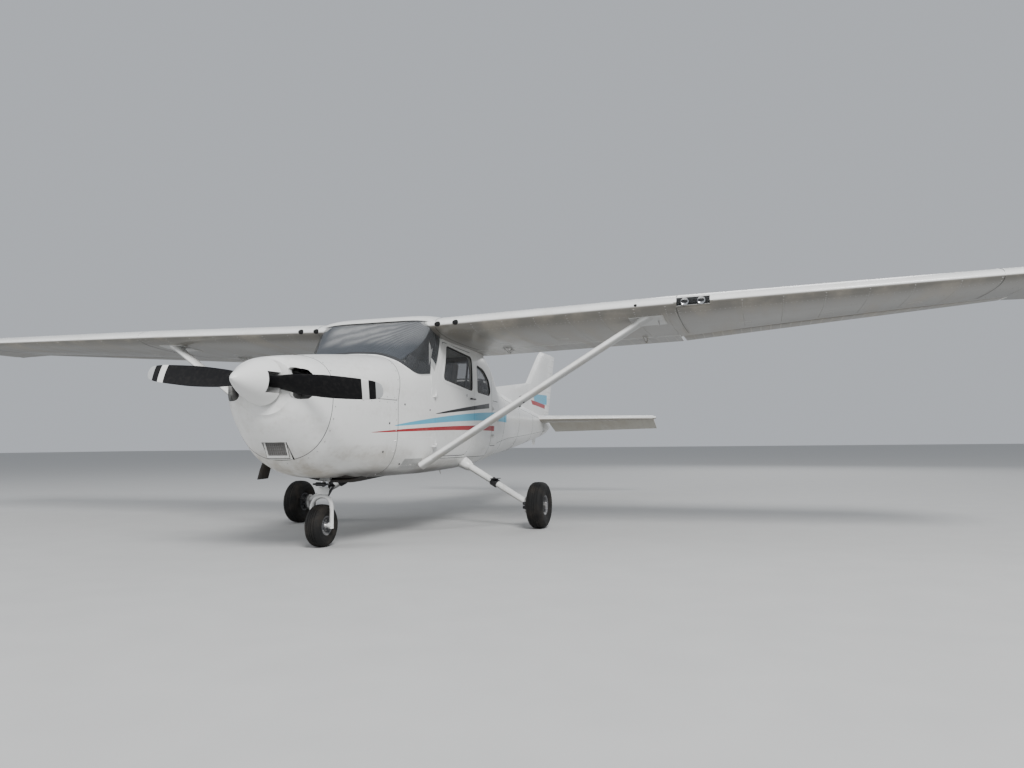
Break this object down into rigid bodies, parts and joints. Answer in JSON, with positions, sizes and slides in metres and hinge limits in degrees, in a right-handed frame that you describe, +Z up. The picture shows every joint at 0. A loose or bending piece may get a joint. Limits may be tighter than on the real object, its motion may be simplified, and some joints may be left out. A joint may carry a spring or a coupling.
{
  "type": "light aircraft",
  "caption": "Strut-braced high-wing light aeroplane on fixed nose-wheel gear, with turning wheels, propeller, doors and control surfaces.",
  "frame": {"origin": "centre of the bounding box's base, on the ground under the aircraft", "axes": "+X to the aircraft's left along the wing, +Y aft, +Z up"},
  "size_m": [10.9932, 8.189, 2.2073],
  "materials": {
    "white_paint": "satin",
    "light_grey": "satin",
    "wheel_rim": "satin",
    "black_paint": "satin",
    "exhaust": "matte",
    "rubber": "matte",
    "metal": "satin",
    "engine": "matte",
    "glass": "gloss",
    "seat": "matte",
    "trim": "matte"
  },
  "bodies": {
    "airframe": {"nose_cap": "white_paint", "cowl_upper": "white_paint", "cowl_lower": "white_paint", "air_filter": "trim", "exhaust_pipe": "exhaust", "engine_block": "engine", "firewall": "metal", "cabin_roof": "white_paint", "windshield": "glass", "forward_fuselage": "white_paint", "cabin_floor": "white_paint", "rear_cabin": "white_paint", "rear_window": "glass", "stabiliser": "white_paint", "tail_cone": "white_paint", "fin": "white_paint", "nose_strut": "metal", "instrument_panel": "trim", "rear_seat": "seat", "cabin_side_left": "white_paint", "rear_side_window_left": "glass", "wing_left": "white_paint", "strut_left": "white_paint", "main_leg_left": "white_paint", "seat_frame_left": "metal", "seat_left": "seat", "cabin_side_right": "white_paint", "rear_side_window_right": "glass", "wing_right": "white_paint", "strut_right": "white_paint", "main_leg_right": "white_paint", "seat_frame_right": "metal", "seat_right": "seat"},
    "door_left": {"door_left": "white_paint", "door_glass_left": "glass"},
    "door_right": {"door_right": "white_paint", "door_glass_right": "glass"},
    "baggage_door": {"baggage_door": "white_paint"},
    "aileron_left": {"aileron_left": "white_paint"},
    "aileron_right": {"aileron_right": "white_paint"},
    "flap_left": {"flap_left": "white_paint"},
    "flap_right": {"flap_right": "white_paint"},
    "elevator": {"elevator": "white_paint"},
    "rudder": {"rudder": "white_paint"},
    "nose_fork": {"nose_fork": "light_grey"},
    "nose_wheel": {"wheel_nose": "wheel_rim", "tyre_nose": "rubber"},
    "main_wheel_left": {"wheel_left": "wheel_rim", "tyre_left": "rubber"},
    "main_wheel_right": {"wheel_right": "wheel_rim", "tyre_right": "rubber"},
    "propeller": {"propeller": "black_paint", "spinner": "white_paint"}
  },
  "joints": [
    {"name": "propeller_spin", "type": "hinge", "parent": "airframe", "child": "propeller", "pos_m": [0, -3.79476, 1.22174], "axis": [0, 1, 0], "continuous": true},
    {"name": "nose_steering", "type": "hinge", "parent": "airframe", "child": "nose_fork", "pos_m": [0, -2.96926, 0.41148], "axis": [0, 0.2108, 0.9775], "range_deg": [-10, 10]},
    {"name": "nose_wheel_spin", "type": "hinge", "parent": "nose_fork", "child": "nose_wheel", "pos_m": [0, -2.99212, 0.16256], "axis": [1, 0, 0], "continuous": true},
    {"name": "left_wheel_spin", "type": "hinge", "parent": "airframe", "child": "main_wheel_left", "pos_m": [1.27762, -1.34366, 0.21209], "axis": [1, 0, 0], "continuous": true},
    {"name": "right_wheel_spin", "type": "hinge", "parent": "airframe", "child": "main_wheel_right", "pos_m": [-1.27762, -1.34366, 0.21209], "axis": [1, 0, 0], "continuous": true},
    {"name": "left_door", "type": "hinge", "parent": "airframe", "child": "door_left", "pos_m": [0.56769, -2.08534, 1.143], "axis": [0, 0, -1], "range_deg": [0, 70]},
    {"name": "right_door", "type": "hinge", "parent": "airframe", "child": "door_right", "pos_m": [-0.56769, -2.08534, 1.143], "axis": [0, 0, 1], "range_deg": [0, 70]},
    {"name": "baggage_door_swing", "type": "hinge", "parent": "airframe", "child": "baggage_door", "pos_m": [0.49784, -0.37846, 1.016], "axis": [0, 0, -1], "range_deg": [0, 110]},
    {"name": "left_aileron", "type": "hinge", "parent": "airframe", "child": "aileron_left", "pos_m": [3.88366, -1.00402, 1.88936], "axis": [-0.993, 0.1058, -0.0516], "range_deg": [-20, 15]},
    {"name": "right_aileron", "type": "hinge", "parent": "airframe", "child": "aileron_right", "pos_m": [-3.88366, -1.00402, 1.88936], "axis": [-0.993, -0.1058, 0.0516], "range_deg": [-20, 15]},
    {"name": "left_flap", "type": "hinge", "parent": "airframe", "child": "flap_left", "pos_m": [1.55067, -0.91685, 1.71599], "axis": [-0.9996, 0, -0.0279], "range_deg": [0, 30]},
    {"name": "right_flap", "type": "hinge", "parent": "airframe", "child": "flap_right", "pos_m": [-1.55067, -0.91685, 1.71599], "axis": [-0.9996, 0, 0.0279], "range_deg": [0, 30]},
    {"name": "elevator_swing", "type": "hinge", "parent": "airframe", "child": "elevator", "pos_m": [0, 3.2639, 1.14808], "axis": [1, 0, 0], "range_deg": [0, 51]},
    {"name": "rudder_swing", "type": "hinge", "parent": "airframe", "child": "rudder", "pos_m": [0, 3.30708, 1.23444], "axis": [0, 0.4017, 0.9158], "range_deg": [-16, 16]}
  ],
  "couplings": [
    {"joint": "right_flap", "follows": "left_flap", "ratio": 1},
    {"joint": "right_aileron", "follows": "left_aileron", "ratio": -0.75}
  ]
}
